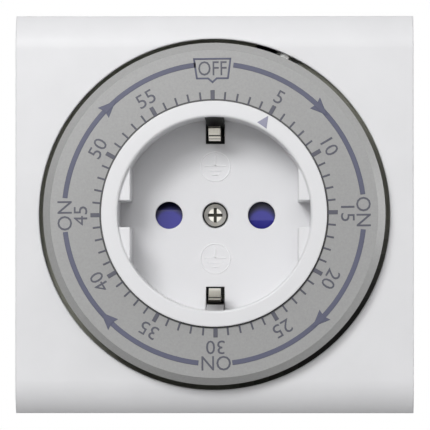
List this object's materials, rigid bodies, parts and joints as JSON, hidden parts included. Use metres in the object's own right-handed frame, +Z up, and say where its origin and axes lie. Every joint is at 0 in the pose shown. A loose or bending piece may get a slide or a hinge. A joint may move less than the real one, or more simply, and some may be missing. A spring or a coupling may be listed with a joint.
{
  "type": "plug-in timer",
  "caption": "Square plug-in countdown timer with an earthed socket in the middle of its turning dial.",
  "frame": {"origin": "on the axis of the plug and the socket, in the back face that meets the wall socket", "axes": "the front faces -Y, +Z is up and +X to the right seen from the front"},
  "size_m": [0.0808, 0.086, 0.0808],
  "materials": {
    "plate": "satin white",
    "tub": "fine matt white",
    "insert": "satin white",
    "dial": "frosted grey",
    "frame": "dark olive grey",
    "shutter": "blue-violet",
    "gear": "natural acetal",
    "carrier": "dark grey",
    "lever": "white acetal",
    "nickel": "nickel-plated",
    "brass": "bare",
    "steel": "zinc-plated",
    "copper": "lacquered winding",
    "live_wire": "brown insulation",
    "blue_wire": "blue insulation"
  },
  "bodies": {
    "housing": {"front_housing": "plate", "rear_housing": "tub", "live_plug_pin": "nickel", "neutral_plug_pin": "nickel", "housing_screws": "steel", "socket_insert": "insert", "centre_screw": "nickel", "centre_nut": "steel", "mechanism_frame": "frame", "gear_arbors": "steel", "chassis_plate": "steel", "chassis_screws": "steel", "frame_screws": "steel", "motor_cover": "steel", "motor_can": "steel", "coil_bobbin": "carrier", "coil_winding": "copper", "contact_carrier": "carrier", "earth_bracket": "nickel", "plug_earth_strap": "nickel", "live_socket_contact": "brass", "neutral_socket_contact": "brass", "shutter_spring": "steel", "switch_base": "carrier", "moving_contact": "brass", "fixed_contact": "brass", "follower_spring": "steel", "live_lead": "live_wire", "load_lead": "live_wire", "motor_leads": "blue_wire"},
    "dial": {"dial_ring": "dial", "dial_gear": "gear", "dial_retaining_ring": "steel"},
    "drive_wheel": {"drive_pinion": "gear", "clutch_washer": "steel"},
    "rotor": {"rotor_magnet": "carrier", "rotor_pinion": "steel"},
    "first_wheel": {"first_gear": "gear"},
    "second_wheel": {"second_gear": "gear"},
    "third_wheel": {"third_gear": "gear"},
    "fourth_wheel": {"fourth_gear": "gear"},
    "shutter": {"safety_shutter": "shutter"},
    "follower": {"follower_lever": "lever"}
  },
  "joints": [
    {"name": "dial_turn", "type": "hinge", "parent": "housing", "child": "dial", "pos_m": [0, -0.043, 0], "axis": [0, 1, 0], "continuous": true},
    {"name": "drive_pinion_turn", "type": "hinge", "parent": "housing", "child": "drive_wheel", "pos_m": [-0.02194, -0.0365, -0.02194], "axis": [0, 1, 0], "continuous": true},
    {"name": "rotor_spin", "type": "hinge", "parent": "housing", "child": "rotor", "pos_m": [-0.02086, -0.022, -0.02086], "axis": [0, 1, 0], "continuous": true},
    {"name": "first_gear_turn", "type": "hinge", "parent": "housing", "child": "first_wheel", "pos_m": [-0.01614, -0.031, -0.02666], "axis": [0, 1, 0], "continuous": true},
    {"name": "second_gear_turn", "type": "hinge", "parent": "housing", "child": "second_wheel", "pos_m": [-0.02194, -0.032, -0.02194], "axis": [0, 1, 0], "continuous": true},
    {"name": "third_gear_turn", "type": "hinge", "parent": "housing", "child": "third_wheel", "pos_m": [-0.01614, -0.033, -0.02666], "axis": [0, 1, 0], "continuous": true},
    {"name": "fourth_gear_turn", "type": "hinge", "parent": "housing", "child": "fourth_wheel", "pos_m": [-0.02194, -0.035, -0.02194], "axis": [0, 1, 0], "continuous": true},
    {"name": "shutter_turn", "type": "hinge", "parent": "housing", "child": "shutter", "pos_m": [0, -0.0292, 0], "axis": [0, -1, 0], "range_deg": [0, 44], "stiffness_Nm_per_rad": 0.0008, "springref_deg": -11.46, "deforming": ["shutter_spring"]},
    {"name": "follower_swing", "type": "hinge", "parent": "housing", "child": "follower", "pos_m": [0.03095, -0.036, 0.02566], "axis": [0, 1, 0], "range_deg": [0, 2.5], "stiffness_Nm_per_rad": 0.02, "springref_deg": -5.73, "deforming": ["moving_contact", "follower_spring"]}
  ],
  "couplings": [
    {"joint": "drive_pinion_turn", "follows": "dial_turn", "ratio": -7.1111},
    {"joint": "first_gear_turn", "follows": "rotor_spin", "ratio": -0.13333},
    {"joint": "second_gear_turn", "follows": "rotor_spin", "ratio": 0.017778},
    {"joint": "third_gear_turn", "follows": "rotor_spin", "ratio": -0.0023704},
    {"joint": "fourth_gear_turn", "follows": "rotor_spin", "ratio": 0.00031605}
  ]
}
